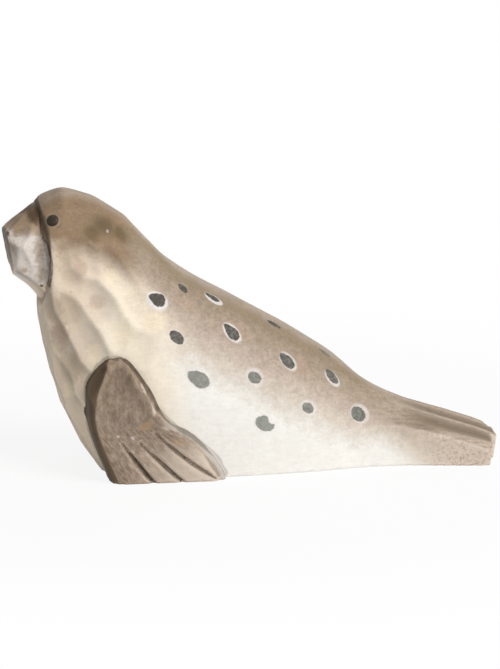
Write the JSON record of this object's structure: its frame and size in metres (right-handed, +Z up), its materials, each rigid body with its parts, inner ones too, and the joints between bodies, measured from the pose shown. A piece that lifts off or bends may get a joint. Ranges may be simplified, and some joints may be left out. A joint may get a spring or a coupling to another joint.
{
  "type": "seal figurine",
  "caption": "Painted wooden seal figurine, knife-carved from a solid block, with raised head, blunt muzzle, grooved front flippers, spotted back and fluted tail, resting on a flat base.",
  "frame": {"origin": "middle of the figure's outline, on the flat sawn base", "axes": "+X towards the tail, with the nose at -X; +Z up; -Y is the flank nearer the viewer in the picture"},
  "size_m": [0.1412, 0.0452, 0.0812],
  "materials": {
    "painted_wood": "matt paint rubbed over pale wood: brown back, cream belly, grey-brown flippers, dark spots with pale rims"
  },
  "bodies": {
    "root": {"carved_seal": "painted_wood"}
  },
  "joints": []
}
